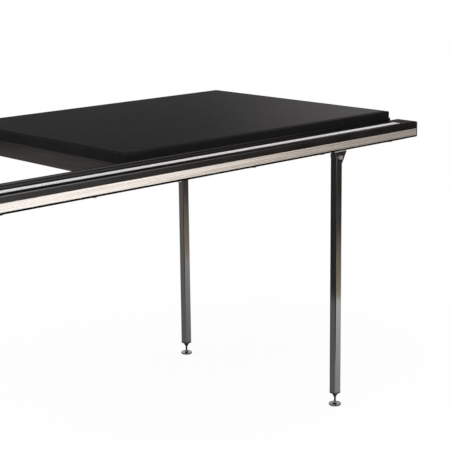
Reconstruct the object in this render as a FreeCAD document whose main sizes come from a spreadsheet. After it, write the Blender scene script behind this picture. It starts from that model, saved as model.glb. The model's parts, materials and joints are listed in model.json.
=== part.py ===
import FreeCAD, Part
import os
import re
import Sketcher

# An extension table for a table saw: a laminated board on a batten frame, hung between two angle rails,
# a tubular fence rail in front, and two folding legs with levelling feet under the outer end.
# +X runs along the rail towards the free end, +Y from the front to the back, +Z up.
# The origin is on the floor, under the middle of the whole object.

doc = FreeCAD.newDocument("extension_table")
vector = FreeCAD.Vector

# Driving sizes in millimetres: alias, value, what it is.
driving_sizes = [
    ("table_height", 841.2, "top of the board above the floor"),
    ("board_length", 1016, "board along X"),
    ("board_depth", 762, "board along Y"),
    ("board_thickness", 28, "laminates and core together"),
    ("laminate_thickness", 1, "top sheet"),
    ("backer_thickness", 0.8, "bottom sheet"),
    ("nosing_width", 16, "edge moulding round the board"),
    ("nosing_step", 0.3, "moulding below the top sheet where they meet"),
    ("nosing_fall", 0.5, "slope of the moulding's top over its width"),
    ("nosing_round", 2.5, "outer top corner of the moulding"),
    ("nosing_toe", 1.5, "outer bottom corner of the moulding"),
    ("batten_width", 19, "battens that run along the board and across its ends"),
    ("leg_batten_width", 60, "cross batten that carries the rear leg"),
    ("rail_length", 1524, "front rail with its end caps"),
    ("rail_overhang", 30, "front rail past the board's right end"),
    ("rear_reach", 254, "rear rail past the board's left end"),
    ("tube_depth", 79, "front rail tube along Y"),
    ("tube_height", 46, "front rail tube along Z"),
    ("tube_wall", 2.5, "front rail tube wall"),
    ("tube_round", 5, "front rail tube outer corner"),
    ("tube_drop", 26.4, "top of the tube below the board's top"),
    ("tube_gap", 0.75, "between the tube and the angle behind it"),
    ("angle_thickness", 5, "both legs of the angle rails"),
    ("angle_depth", 63.5, "lying leg of the angle rails"),
    ("angle_rise", 6, "angle rail above the tube's top"),
    ("angle_root", 4, "inner corner of the angle rails"),
    ("angle_toe", 1.5, "outer corners of the angle rails"),
    ("strip_height", 20.3, "bright strip on the tube's front"),
    ("strip_thickness", 0.8, "bright strip"),
    ("strip_rise", 5.8, "strip above the tube's bottom"),
    ("tape_width", 22, "rule tape on the tube's top"),
    ("tape_thickness", 0.4, "rule tape"),
    ("tape_setback", 16, "tape behind the tube's front face"),
    ("strip_end_gap", 1, "strip short of the end caps"),
    ("tape_end_gap", 64.5, "tape short of the rail's ends"),
    ("cap_flange", 5, "outer plate of an end cap"),
    ("cap_depth", 18, "plug of an end cap inside the tube"),
    ("cap_edge", 1.2, "rounded rim of an end cap"),
    ("fit_gap", 0.1, "a plug in its tube, on each side"),
    ("leg_size", 24, "square leg tube"),
    ("leg_wall", 1.5, "leg tube wall"),
    ("leg_round", 2.5, "leg tube outer corner"),
    ("leg_from_end", 284.7, "leg axis from the board's right end"),
    ("rear_leg_from_front", 616, "rear leg axis from the board's front"),
    ("mounting_plate", 2.5, "bright plate between the frame and a leg bracket"),
    ("bracket_plate", 2, "leg bracket sheet"),
    ("bracket_width", 48, "leg bracket along X"),
    ("bracket_shift", 3, "bracket's middle from the leg's axis, towards the free end"),
    ("bracket_tip", 11, "ear width at its lower end"),
    ("bracket_tip_round", 5, "ear's lower corners"),
    ("bracket_bend", 2, "outer bend of the bracket"),
    ("ear_gap", 0.5, "leg to ear"),
    ("ear_below_pivot", 18.4, "ear past the pivot"),
    ("pivot_clearance", 1, "bracket's plate to the leg tube's corner as it swings by"),
    ("pivot_radius", 3, "pivot bolt shank"),
    ("running_gap", 0.06, "radial clearance of what turns or slides"),
    ("head_clearance", 0.5, "leg head below the bracket's plate"),
    ("tube_above_pivot", 6, "leg tube's top above the pivot"),
    ("stop_relief", 1, "how far the leg head's stop corner is rounded off"),
    ("head_plug_depth", 16, "leg head inside the tube"),
    ("leg_rim_bottom", 36.7, "underside of the leg's foot plug above the floor"),
    ("foot_rim", 5, "rim of the foot plug"),
    ("foot_plug_depth", 22, "foot plug inside the tube"),
    ("boss_height", 11, "tapered boss under the foot plug"),
    ("boss_top_radius", 10.5, "boss at the plug"),
    ("boss_tip_radius", 3.8, "boss at its lower end"),
    ("stem_radius", 3, "foot's threaded stem"),
    ("stem_length", 94, "foot's threaded stem"),
    ("stem_seat", 3, "stem's lower end above the floor"),
    ("flat_width", 5, "spanner flats on the stem"),
    ("flat_height", 5, "spanner flats along the stem"),
    ("flat_rise", 2, "spanner flats above the foot pad's hub"),
    ("pad_radius", 18.5, "foot pad"),
    ("pad_top", 5.5, "foot pad's plate above the floor"),
    ("hub_top", 11.5, "foot pad's hub above the floor"),
    ("hub_radius", 5.4, "foot pad's hub at its base"),
    ("hub_tip_radius", 4, "foot pad's hub at its top"),
    ("pad_edge", 1.5, "foot pad's rounded rim"),
    ("sole_thickness", 1.5, "rubber under the foot pad"),
    ("sole_inset", 1, "rubber inside the pad's rim"),
    ("screw_gap", 0.05, "fixed screws in their holes"),
    ("frame_screw_radius", 2.5, "screws that hold the rails to the battens"),
    ("frame_screw_length", 24, "screws that hold the rails to the battens"),
    ("frame_screw_rise", 26, "rail screws above the lying leg's underside"),
    ("frame_screw_inset", 60, "first rail screw from the board's end"),
    ("board_screw_radius", 2.2, "screws that hold the board"),
    ("board_screw_bite", 14, "board screw inside the core"),
    ("board_screw_sink", 8, "board screw head inside the batten"),
    ("tube_bolt_radius", 4, "bolts that hold the tube"),
    ("tube_bolt_inset", 80, "outermost tube bolts from the rail's ends"),
    ("tube_bolt_clear", 40, "nearest tube bolt from the leg bracket's side"),
    ("bracket_bolt_radius", 3, "bolts and screws that hold a leg bracket"),
    ("bracket_bolt_offset", 16.5, "bracket bolt from the bracket's middle"),
    ("bracket_screw_bite", 35, "rear bracket screw inside the batten"),
    ("saw_bolt_radius", 4.5, "holes for the bolts into the saw's table"),
    ("saw_bolt_sink", 3.7, "depth of the sinks for those bolts' heads"),
    ("saw_bolt_rise", 33, "those holes above the lying leg's underside"),
    ("saw_bolt_inset", 60, "nearest such hole from the board's left end"),
    ("saw_bolt_pitch", 160, "one such hole to the next"),
    ("large_flats", 13, "nuts and hexagonal heads of the 8 mm bolts, across flats"),
    ("large_head_height", 5.3, "those heads"),
    ("large_nut_height", 6.5, "those nuts"),
    ("small_flats", 10, "nuts and hexagonal heads of the 6 mm bolts, across flats"),
    ("small_head_height", 4, "those heads"),
    ("small_nut_height", 5, "those nuts"),
    ("lock_nut_height", 6, "lock nut on a pivot bolt"),
    ("round_head_radius", 5.25, "round heads of the 6 mm bolts and screws"),
    ("round_head_crown", 3.6, "flat top of those heads, radius"),
    ("round_head_height", 2.4, "those heads"),
    ("thread_end", 2, "a bolt past its nut"),
    ("washer_radius", 6, "washers on a pivot bolt"),
    ("washer_thickness", 1.6, "its outer washers"),
    ("frame_washer_radius", 6, "washers of the rear rail screws"),
    ("frame_washer_thickness", 1.5, "those washers"),
    ("frame_head_flats", 8, "heads of the rear rail screws, across flats"),
    ("frame_head_height", 3.5, "those heads"),
    ("overshoot", 1, "how far a cutting tool passes a face"),
]

# Sizes and places that follow from them.
worked_out = [
    ("board_right", "rail_length / 2 - rail_overhang"),
    ("board_left", "board_right - board_length"),
    ("total_depth", "strip_thickness + tube_depth + tube_gap + angle_thickness + board_depth + angle_depth"),
    ("tube_front", "strip_thickness - total_depth / 2"),
    ("tube_back", "tube_front + tube_depth"),
    ("board_front", "tube_back + tube_gap + angle_thickness"),
    ("board_back", "board_front + board_depth"),
    ("board_bottom", "table_height - board_thickness"),
    ("tube_top", "table_height - tube_drop"),
    ("tube_bottom", "tube_top - tube_height"),
    ("ledge_bottom", "tube_bottom - angle_thickness"),
    ("angle_height", "tube_top + angle_rise - ledge_bottom"),
    ("front_angle_length", "rail_length - rail_overhang"),
    ("rear_angle_length", "board_length + rear_reach"),
    ("batten_height", "board_bottom - ledge_bottom"),
    ("cross_length", "board_depth - 2 * batten_width"),
    ("core_bottom", "board_bottom + backer_thickness"),
    ("core_length", "board_length - 2 * nosing_width"),
    ("core_depth", "board_depth - 2 * nosing_width"),
    ("leg_across", "board_right - leg_from_end"),
    ("front_leg_place", "tube_front + tube_depth / 2"),
    ("rear_leg_place", "board_front + rear_leg_from_front"),
    ("bracket_top", "ledge_bottom - mounting_plate"),
    ("plate_bottom", "bracket_top - bracket_plate"),
    ("pivot_drop", "sqrt((leg_size / 2) ^ 2 + tube_above_pivot ^ 2) + pivot_clearance"),
    ("pivot_height", "plate_bottom - pivot_drop"),
    ("head_top", "pivot_drop - head_clearance"),
    ("stop_radius", "sqrt((leg_size / 2) ^ 2 + head_top ^ 2) - stop_relief"),
    ("bracket_depth", "leg_size + 2 * ear_gap + 2 * bracket_plate"),
    ("bracket_middle", "leg_across + bracket_shift"),
    ("leg_back", "leg_size / 2 + running_gap"),
    ("leg_bottom", "leg_rim_bottom + foot_rim"),
    ("leg_length", "pivot_height + tube_above_pivot - leg_bottom"),
    ("leg_bore", "leg_size - 2 * leg_wall"),
    ("pivot_hole", "pivot_radius + running_gap"),
    ("stem_hole", "stem_radius + running_gap"),
    ("tube_run", "rail_length - 2 * cap_flange"),
    ("frame_screw_pitch", "(board_length - 2 * frame_screw_inset) / 4"),
    ("left_tube_bolt", "tube_bolt_inset - rail_length / 2"),
    ("right_tube_bolt", "rail_length / 2 - tube_bolt_inset"),
    ("tube_bolt_run", "bracket_middle - bracket_width / 2 - tube_bolt_clear - left_tube_bolt"),
    ("cross_pitch", "(board_length - batten_width) / 3"),
]

frame_screw_count = 5
left_tube_bolt_count = 5
saw_hole_count = 2
screws_per_batten = 3

sheet_of = {}


def fill_sheet(name, rows, formula):
    """One spreadsheet: alias, value or formula, and a note where there is one."""
    sheet = doc.addObject("Spreadsheet::Sheet", name)
    for line, row in enumerate(rows, 1):
        sheet.set(f"A{line}", row[0])
        sheet.set(f"B{line}", "=" + bound(row[1]) if formula else str(row[1]))
        sheet.setAlias(f"B{line}", row[0])
        sheet_of[row[0]] = name + "."
        if not formula:
            sheet.set(f"C{line}", row[2])
    doc.recompute()


def bound(text):
    """An expression with each alias written with its sheet's name."""
    return re.sub(r"[a-z_]+", lambda word: sheet_of.get(word[0], "") + word[0], str(text))


def value(text):
    """What an expression comes to now, worked out in a spare cell."""
    working.set("A1", "=" + bound(text))
    working.recompute()
    return float(working.get("A1"))


fill_sheet("Sizes", driving_sizes, False)
fill_sheet("Places", worked_out, True)
working = doc.addObject("Spreadsheet::Sheet", "Working")

# Rotations that lay a piece made along +Z along another axis.
turn_to = {
    "+z": FreeCAD.Rotation(),
    "-z": FreeCAD.Rotation(vector(1, 0, 0), 180),
    "+y": FreeCAD.Rotation(vector(1, 0, 0), -90),
    "-y": FreeCAD.Rotation(vector(1, 0, 0), 90),
}


def place(piece, at, rotation=None):
    """Binds a piece's place to the sheets, with a fixed rotation."""
    if rotation:
        piece.Placement = FreeCAD.Placement(vector(), rotation)
    for letter, text in zip("xyz", at):
        piece.setExpression("Placement.Base." + letter, bound(text))
    return piece


def box(name, at, size, rotation=None):
    """A box from its lowest corner."""
    piece = doc.addObject("Part::Box", name)
    for side, text in zip(("Length", "Width", "Height"), size):
        piece.setExpression(side, bound(text))
    return place(piece, at, rotation)


def rod(name, at, radius, length, towards="+z"):
    """A cylinder from the middle of its first end."""
    piece = doc.addObject("Part::Cylinder", name)
    piece.setExpression("Radius", bound(radius))
    piece.setExpression("Height", bound(length))
    return place(piece, at, turn_to[towards])


def cone(name, at, first_radius, last_radius, length, towards="+z"):
    """A cone from the middle of its first end."""
    piece = doc.addObject("Part::Cone", name)
    piece.setExpression("Radius1", bound(first_radius))
    piece.setExpression("Radius2", bound(last_radius))
    piece.setExpression("Height", bound(length))
    return place(piece, at, turn_to[towards])


def hexagon(name, at, across_flats, length, towards="+z"):
    """A hexagonal prism from the middle of its first end."""
    piece = doc.addObject("Part::Prism", name)
    piece.Polygon = 6
    piece.setExpression("Circumradius", bound(f"({across_flats}) / sqrt(3)"))
    piece.setExpression("Height", bound(length))
    return place(piece, at, turn_to[towards])


def joined(name, pieces):
    piece = doc.addObject("Part::MultiFuse", name)
    piece.Shapes = pieces
    piece.Refine = True
    return piece


def group(name, pieces):
    """Separate solids under one name."""
    piece = doc.addObject("Part::Compound", name)
    piece.Links = pieces
    return piece


def cut(name, base, tools):
    """The base without the tools."""
    piece = doc.addObject("Part::Cut", name)
    piece.Base = base
    piece.Tool = tools[0] if len(tools) == 1 else group(name + "_tools", tools)
    return piece


def common(name, base, tool):
    piece = doc.addObject("Part::Common", name)
    piece.Base = base
    piece.Tool = tool
    return piece


def bored(name, blank, at, bore, length, towards="+z"):
    """A nut or a washer: its blank with a hole along the blank's own axis."""
    return cut(name, blank, [rod(name + "_bore", at, bore, length, towards)])


def body(name, at, rotation=None):
    return place(doc.addObject("PartDesign::Body", name), at, rotation)


def new_sketch(owner, name, plane):
    """A sketch on one of its body's own origin planes."""
    sketch = owner.newObject("Sketcher::SketchObject", name)
    flat = [feature for feature in owner.Origin.OriginFeatures if feature.Role == plane][0]
    sketch.AttachmentSupport = [(flat, "")]
    sketch.MapMode = "FlatFace"
    return sketch


def hold_point(sketch, line, end, point):
    """Holds one end of a line, or a circle's middle, at a point bound to the sheets."""
    for kind, text in zip(("DistanceX", "DistanceY"), point):
        number = sketch.addConstraint(Sketcher.Constraint(kind, -1, 1, line, end, value(text)))
        sketch.setExpression(f"Constraints[{number}]", bound(text))


def outline(owner, name, plane, points):
    """A closed polygon, each corner bound to the sheets."""
    sketch = new_sketch(owner, name, plane)
    corners = [vector(value(x), value(y), 0) for x, y in points]
    count = len(corners)
    for number in range(count):
        sketch.addGeometry(Part.LineSegment(corners[number], corners[(number + 1) % count]), False)
    for number in range(count):
        sketch.addConstraint(Sketcher.Constraint("Coincident", number, 2, (number + 1) % count, 1))
    for number in range(count):
        hold_point(sketch, number, 1, points[number])
    return sketch


def circles(owner, name, plane, centres, radius):
    """Equal circles, each centre and radius bound to the sheets."""
    sketch = new_sketch(owner, name, plane)
    for number, centre in enumerate(centres):
        middle = vector(value(centre[0]), value(centre[1]), 0)
        sketch.addGeometry(Part.Circle(middle, vector(0, 0, 1), value(radius)), False)
        held = sketch.addConstraint(Sketcher.Constraint("Radius", number, value(radius)))
        sketch.setExpression(f"Constraints[{held}]", bound(radius))
        hold_point(sketch, number, 3, centre)
    return sketch


def pad(owner, sketch, length, side="One side", reverse=False):
    feature = owner.newObject("PartDesign::Pad", sketch.Name + "_pad")
    feature.Profile = sketch
    feature.SideType = side
    feature.Reversed = reverse
    feature.setExpression("Length", bound(length))
    sketch.Visibility = False
    doc.recompute()
    return feature


def pocket(owner, sketch):
    """Cuts through everything on both sides of the sketch."""
    before = owner.Shape.Volume
    feature = owner.newObject("PartDesign::Pocket", sketch.Name + "_pocket")
    feature.Profile = sketch
    feature.Type = "ThroughAll"
    feature.SideType = "Symmetric"
    sketch.Visibility = False
    doc.recompute()
    if not owner.Shape.Volume < before:
        raise RuntimeError(feature.Name + " cuts nothing")
    return feature


def fillet(owner, name, radius, wanted):
    """Rounds the edges that a test picks."""
    base = owner.Tip
    picked = [f"Edge{number}" for number, edge in enumerate(base.Shape.Edges, 1) if wanted(edge)]
    feature = owner.newObject("PartDesign::Fillet", name)
    feature.Base = (base, picked)
    feature.setExpression("Radius", bound(radius))
    doc.recompute()


def round_edges(owner, name, radius, wanted):
    """Rounds straight edges, picked by their direction and middle in the body's own axes."""
    fillet(owner, name, radius, lambda edge: edge.Curve.TypeId == "Part::GeomLine"
           and wanted(edge.tangentAt(edge.FirstParameter), edge.CenterOfMass))


def round_rim(owner, name, radius, wanted):
    """Rounds the edges round a face, picked by the box that each one fills."""
    fillet(owner, name, radius, lambda edge: wanted(edge.BoundBox))


def near(first, second):
    return abs(first - second) < 0.01


def centred_rectangle(across, along):
    """Corners of a rectangle about the origin."""
    x, y = f"({across}) / 2", f"({along}) / 2"
    return [(f"-{x}", f"-{y}"), (x, f"-{y}"), (x, y), (f"-{x}", y)]


def corner_edges(plane, across, along):
    """A test for the four edges that rise from the corners of a centred rectangle on this plane."""
    along_axis, first, second = {"YZ_Plane": "xyz", "XZ_Plane": "yxz", "XY_Plane": "zxy"}[plane]
    half_across, half_along = value(f"({across}) / 2"), value(f"({along}) / 2")

    def wanted(run, middle):
        return (near(abs(getattr(run, along_axis)), 1) and near(abs(getattr(middle, first)), half_across)
                and near(abs(getattr(middle, second)), half_along))

    return wanted


def section(name, at, plane, across, along, length, corner, side="One side", reverse=False, wall=None):
    """A bar or tube of rounded rectangular section, centred on its own axis."""
    layers = [("_outer", across, along, corner)]
    if wall:
        layers.append(("_bore", f"{across} - 2 * {wall}", f"{along} - 2 * {wall}", f"{corner} - {wall}"))
    bar = body(name, at)
    for tag, wide, high, _ in layers:
        shape = outline(bar, name + tag, plane, centred_rectangle(wide, high))
        if tag == "_bore":
            pocket(bar, shape)
        else:
            pad(bar, shape, length, side, reverse)
    for tag, wide, high, radius in layers:
        round_edges(bar, f"{name}{tag}_corners", radius, corner_edges(plane, wide, high))
    return bar


# ---- board ----

def slab(name, bottom, thickness):
    """One layer of the board, inside the mouldings."""
    return box(name, ("board_left + nosing_width", "board_front + nosing_width", bottom),
               ("core_length", "core_depth", thickness))


def nosing(name, at, length, turn):
    """A mitred edge moulding: its top falls a little towards a rounded outer corner."""
    bar = body(name + "_bar", ("0", "0", "0"))
    lip = "board_thickness - nosing_step"
    corners = [("0", "0"), ("nosing_width", "0"), ("nosing_width", lip), ("0", lip + " - nosing_fall")]
    pad(bar, outline(bar, name + "_section", "YZ_Plane", corners), length)
    top = value(lip + " - nosing_fall")
    for tag, radius, level in (("top", "nosing_round", top), ("toe", "nosing_toe", 0)):
        round_edges(bar, f"{name}_{tag}", radius,
                    lambda run, c: near(abs(run.x), 1) and near(c.y, 0) and near(c.z, level))
    mitre_size = ("2 * nosing_width", "2 * nosing_width", "board_thickness + 2 * overshoot")
    mitre_turn = FreeCAD.Rotation(vector(0, 0, 1), 45)
    mitres = [box(f"{name}_{tag}_mitre", (end, "0", "-overshoot"), mitre_size, mitre_turn)
              for tag, end in (("left", "0"), ("right", length))]
    return place(cut(name, bar, mitres), at, FreeCAD.Rotation(vector(0, 0, 1), turn))


cross_battens = [
    ("left_cross_batten", "board_left + nosing_width", "batten_width"),
    ("middle_cross_batten", "board_left + cross_pitch", "batten_width"),
    ("leg_cross_batten", "leg_across - leg_batten_width / 2", "leg_batten_width"),
    ("right_cross_batten", "board_right - nosing_width - batten_width", "batten_width"),
]


def board_screw_spots():
    """Where the board is screwed to the battens: name of the batten, X and Y."""
    spots = []
    for name, start, width in cross_battens:
        for number in range(screws_per_batten):
            share = (number + 0.5) / screws_per_batten
            along = f"board_front + batten_width + cross_length * {share}"
            spots.append((name, f"{start} + {width} / 2", along))
    return spots


def board_screw(name, x, y, gap):
    """A countersunk wood screw standing in a batten, head down, or with a gap the hole that it needs."""
    radius = f"board_screw_radius + {gap}"
    shank = f"batten_height - board_screw_sink + backer_thickness + board_screw_bite + {gap}"
    bottom = "ledge_bottom + board_screw_sink"
    pieces = [rod(name + "_shank", (x, y, bottom), radius, shank),
              cone(name + "_head", (x, y, bottom), f"2 * board_screw_radius + {gap}", radius,
                   "board_screw_radius")]
    if gap != "0":
        pieces.append(rod(name + "_sink", (x, y, "ledge_bottom - overshoot"), f"2 * board_screw_radius + {gap}",
                          "board_screw_sink + overshoot"))
    return joined(name, pieces)


def frame_screw_spots():
    return [f"board_left + frame_screw_inset + {number} * frame_screw_pitch"
            for number in range(frame_screw_count)]


frame_screw_level = "ledge_bottom + frame_screw_rise"


def front_screw(name, x, gap):
    """A countersunk screw through the front angle, or its hole."""
    radius = f"frame_screw_radius + {gap}"
    face = "board_front - angle_thickness"
    return joined(name, [
        rod(name + "_shank", (x, face, frame_screw_level), radius, f"frame_screw_length + {gap}", "+y"),
        cone(name + "_head", (x, face, frame_screw_level), f"2 * frame_screw_radius + {gap}", radius,
             "frame_screw_radius", "+y")])


def rear_screw(name, x):
    """A hexagon-headed screw with its washer through the rear angle."""
    face = "board_back + angle_thickness"
    seat = (x, face, frame_screw_level)
    return joined(name, [
        rod(name + "_shank", seat, "frame_screw_radius", "frame_screw_length", "-y"),
        rod(name + "_washer", seat, "frame_washer_radius", "frame_washer_thickness", "+y"),
        hexagon(name + "_head", (x, face + " + frame_washer_thickness", frame_screw_level), "frame_head_flats",
                "frame_head_height", "+y")])


def make_board():
    spots = board_screw_spots()
    core = slab("core_blank", "core_bottom", "board_thickness - laminate_thickness - backer_thickness")
    backer = slab("backer_blank", "board_bottom", "backer_thickness")
    holes = [board_screw(f"board_hole_{number}", x, y, "screw_gap") for number, (_, x, y) in enumerate(spots)]
    made = {
        "top_laminate": slab("top_laminate", "table_height - laminate_thickness", "laminate_thickness"),
        "table_core": cut("table_core", core, holes),
        "backer_sheet": cut("backer_sheet", backer, holes),
        "board_screws": group("board_screws", [board_screw(f"board_screw_{number}", x, y, "0")
                                               for number, (_, x, y) in enumerate(spots)]),
        "front_nosing": nosing("front_nosing", ("board_left", "board_front", "board_bottom"),
                               "board_length", 0),
        "right_nosing": nosing("right_nosing", ("board_right", "board_front", "board_bottom"),
                               "board_depth", 90),
        "rear_nosing": nosing("rear_nosing", ("board_right", "board_back", "board_bottom"),
                              "board_length", 180),
        "left_nosing": nosing("left_nosing", ("board_left", "board_back", "board_bottom"),
                              "board_depth", 270),
    }
    for name, start, width in cross_battens:
        blank = box(name + "_blank", (start, "board_front + batten_width", "ledge_bottom"),
                    (width, "cross_length", "batten_height"))
        tools = [holes[number] for number, spot in enumerate(spots) if spot[0] == name]
        if name == "leg_cross_batten":
            tools += [rod(f"rear_bracket_hole_{number}", (x, "rear_leg_place", "ledge_bottom - overshoot"),
                          "bracket_bolt_radius + screw_gap", "bracket_screw_bite + overshoot + screw_gap")
                      for number, x in enumerate(bracket_bolt_spots)]
        made[name] = cut(name, blank, tools)
    return made


def make_long_battens():
    made = {}
    for name, start in (("front_batten", "board_front"), ("rear_batten", "board_back - batten_width")):
        blank = box(name + "_blank", ("board_left", start, "ledge_bottom"),
                    ("board_length", "batten_width", "batten_height"))
        holes = [rod(f"{name}_hole_{number}", (x, f"{start} - overshoot", frame_screw_level),
                     "frame_screw_radius + screw_gap", "batten_width + 2 * overshoot", "+y")
                 for number, x in enumerate(frame_screw_spots())]
        made[name] = cut(name, blank, holes)
    return made


# ---- rails ----

def angle(name, at, length, turn):
    """An angle rail: its standing leg against Y = 0, its lying leg towards -Y."""
    rail = body(name, at, FreeCAD.Rotation(vector(0, 0, 1), turn))
    corners = [("0", "0"), ("0", "angle_height"), ("-angle_thickness", "angle_height"),
               ("-angle_thickness", "angle_thickness"), ("-angle_depth", "angle_thickness"),
               ("-angle_depth", "0")]
    pad(rail, outline(rail, name + "_section", "YZ_Plane", corners), length)
    thick, high, deep = value("angle_thickness"), value("angle_height"), value("angle_depth")
    round_edges(rail, name + "_root", "angle_root",
                lambda run, c: near(abs(run.x), 1) and near(c.y, -thick) and near(c.z, thick))
    round_edges(rail, name + "_toes", "angle_toe",
                lambda run, c: near(abs(run.x), 1) and ((near(c.y, -thick) and near(c.z, high))
                                                        or (near(c.y, -deep) and near(c.z, thick))))
    return rail


def saw_hole_spots():
    """X of the holes for the bolts into the saw's table, outwards from the board."""
    return [f"board_left - saw_bolt_inset - {number} * saw_bolt_pitch" for number in range(saw_hole_count)]


def saw_holes(name, face, sunk=False):
    """Holes back through an angle's standing leg, from its front face, and sunk for flat heads if asked."""
    tools = []
    for number, x in enumerate(saw_hole_spots()):
        level = "ledge_bottom + saw_bolt_rise"
        tools.append(rod(f"{name}_{number}", (x, face + " - overshoot", level), "saw_bolt_radius",
                         "angle_thickness + 2 * overshoot", "+y"))
        if sunk:
            tools.append(cone(f"{name}_{number}_sink", (x, face, level), "saw_bolt_radius + saw_bolt_sink",
                              "saw_bolt_radius", "saw_bolt_sink", "+y"))
    return tools


# X of the bolts that hold the tube, spread up to the leg bracket, with one more at the free end.
tube_bolt_spots = [f"left_tube_bolt + tube_bolt_run * {number} / {left_tube_bolt_count - 1}"
                   for number in range(left_tube_bolt_count)] + ["right_tube_bolt"]
bracket_bolt_spots = ["bracket_middle - bracket_bolt_offset", "bracket_middle + bracket_bolt_offset"]
floor_plates = "(angle_thickness + tube_wall)"


def upright_holes(name, spots, radius):
    """Holes up through the lying leg and the tube's floor, on the tube's middle line."""
    return [rod(f"{name}_{number}", (x, "front_leg_place", "ledge_bottom - overshoot"), f"{radius} + screw_gap",
                f"{floor_plates} + 2 * overshoot") for number, x in enumerate(spots)]


def round_head(name, x, y):
    """A low head under a leg bracket's plate."""
    return cone(name + "_head", (x, y, "plate_bottom"), "round_head_radius", "round_head_crown",
                "round_head_height", "-z")


def bolt_into_tube(name, head, x, under, plates, radius, flats, nut_height):
    """A bolt up through plates into the tube, and its nut on the tube's floor."""
    top = (x, "front_leg_place", f"{under} + {plates}")
    shank = rod(name + "_shank", (x, "front_leg_place", under), radius, f"{plates} + {nut_height} + thread_end")
    blank = hexagon(name + "_nut_blank", top, flats, nut_height)
    return joined(name, [head, shank]), bored(name + "_nut", blank, top, f"{radius} + screw_gap", nut_height)


def make_tube_bolts():
    pairs = []
    for number, x in enumerate(tube_bolt_spots):
        name = f"tube_bolt_{number}"
        head = hexagon(name + "_head", (x, "front_leg_place", "ledge_bottom"), "large_flats",
                       "large_head_height", "-z")
        pairs.append(bolt_into_tube(name, head, x, "ledge_bottom", floor_plates, "tube_bolt_radius",
                                    "large_flats", "large_nut_height"))
    return {"tube_bolts": group("tube_bolts", [bolt for bolt, _ in pairs]),
            "tube_nuts": group("tube_nuts", [nut for _, nut in pairs])}


def make_bracket_bolts():
    pairs = []
    for number, x in enumerate(bracket_bolt_spots):
        name = f"bracket_bolt_{number}"
        pairs.append(bolt_into_tube(name, round_head(name, x, "front_leg_place"), x, "plate_bottom",
                                    f"(bracket_plate + mounting_plate + {floor_plates})", "bracket_bolt_radius",
                                    "small_flats", "small_nut_height"))
    return {"front_bracket_bolts": group("front_bracket_bolts", [bolt for bolt, _ in pairs]),
            "front_bracket_nuts": group("front_bracket_nuts", [nut for _, nut in pairs])}


def end_cap(name, at, turn):
    """A plug with a flange that covers the tube's end: the flange from X = 0, the plug towards -X."""
    cap = body(name, at, FreeCAD.Rotation(vector(0, 0, 1), turn))
    plate = outline(cap, name + "_plate", "YZ_Plane", centred_rectangle("tube_depth", "tube_height"))
    pad(cap, plate, "cap_flange")
    round_edges(cap, name + "_corners", "tube_round", corner_edges("YZ_Plane", "tube_depth", "tube_height"))
    face = value("cap_flange")
    round_rim(cap, name + "_rim", "cap_edge",
              lambda box_of_edge: near(box_of_edge.XMin, face) and near(box_of_edge.XMax, face))
    inside = ("tube_depth - 2 * tube_wall - 2 * fit_gap", "tube_height - 2 * tube_wall - 2 * fit_gap")
    pad(cap, outline(cap, name + "_plug", "YZ_Plane", centred_rectangle(*inside)), "cap_depth", reverse=True)
    round_edges(cap, name + "_plug_corners", "tube_round - tube_wall", corner_edges("YZ_Plane", *inside))
    return cap


def make_rails():
    middle = ("front_leg_place", "tube_bottom + tube_height / 2")
    tube = section("tube_blank", ("0", *middle), "YZ_Plane", "tube_depth", "tube_height", "tube_run",
                   "tube_round", "Symmetric", wall="tube_wall")
    floor_holes = (upright_holes("tube_bolt_hole", tube_bolt_spots, "tube_bolt_radius")
                   + upright_holes("front_bracket_hole", bracket_bolt_spots, "bracket_bolt_radius"))
    front_blank = angle("front_angle_blank", ("-rail_length / 2", "board_front", "ledge_bottom"),
                        "front_angle_length", 0)
    rear_blank = angle("rear_angle_blank", ("board_right", "board_back", "ledge_bottom"),
                       "rear_angle_length", 180)
    screw_spots = list(enumerate(frame_screw_spots()))
    front_holes = [front_screw(f"front_screw_hole_{number}", x, "screw_gap") for number, x in screw_spots]
    rear_holes = [rod(f"rear_screw_hole_{number}", (x, "board_back - overshoot", frame_screw_level),
                      "frame_screw_radius + screw_gap", "angle_thickness + 2 * overshoot", "+y")
                  for number, x in screw_spots]
    return {
        "front_rail_tube": cut("front_rail_tube", tube, floor_holes),
        "front_angle_rail": cut("front_angle_rail", front_blank, front_holes + floor_holes
                                + saw_holes("front_saw_hole", "board_front - angle_thickness", sunk=True)),
        "rear_angle_rail": cut("rear_angle_rail", rear_blank, rear_holes
                               + saw_holes("rear_saw_hole", "board_back")),
        "front_rail_screws": group("front_rail_screws", [front_screw(f"front_rail_screw_{number}", x, "0")
                                                         for number, x in screw_spots]),
        "rear_rail_screws": group("rear_rail_screws", [rear_screw(f"rear_rail_screw_{number}", x)
                                                       for number, x in screw_spots]),
        **make_tube_bolts(),
        **make_bracket_bolts(),
        "right_end_cap": end_cap("right_end_cap", ("rail_length / 2 - cap_flange", *middle), 0),
        "left_end_cap": end_cap("left_end_cap", ("cap_flange - rail_length / 2", *middle), 180),
        "front_trim_strip": box("front_trim_strip",
                                ("cap_flange + strip_end_gap - rail_length / 2", "tube_front - strip_thickness",
                                 "tube_bottom + strip_rise"),
                                ("tube_run - 2 * strip_end_gap", "strip_thickness", "strip_height")),
        "rule_tape": box("rule_tape",
                         ("tape_end_gap - rail_length / 2", "tube_front + tape_setback", "tube_top"),
                         ("rail_length - 2 * tape_end_gap", "tape_width", "tape_thickness")),
    }


# ---- legs ----

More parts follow.
